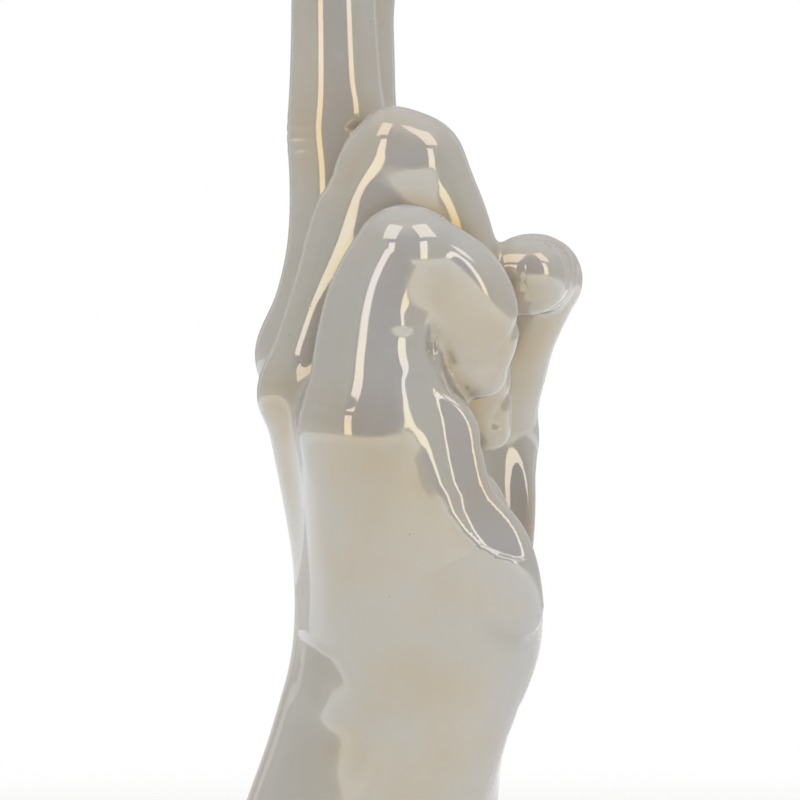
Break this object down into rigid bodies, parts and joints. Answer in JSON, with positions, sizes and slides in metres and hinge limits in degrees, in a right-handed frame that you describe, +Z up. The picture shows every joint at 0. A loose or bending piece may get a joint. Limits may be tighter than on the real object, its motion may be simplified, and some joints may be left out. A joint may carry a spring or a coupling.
{
  "type": "ceramic hand sculpture",
  "caption": "Glazed ceramic hand ornament that stands on its forearm and raises two fingers, with the other fingers and the thumb folded over the palm.",
  "frame": {"origin": "middle of the felt's underside, where the hand rests on a table", "axes": "+Z up along the forearm to the fingertips, +X the way the palm faces, -Y the little finger's side"},
  "size_m": [0.0743, 0.09, 0.2242],
  "materials": {
    "glaze": "pearl lustre glaze, high gloss",
    "felt": "pressed felt"
  },
  "bodies": {
    "root": {"palm_and_arm": "glaze", "index_finger": "glaze", "middle_finger": "glaze", "ring_finger": "glaze", "little_finger": "glaze", "thumb": "glaze", "felt_base": "felt"}
  },
  "joints": []
}
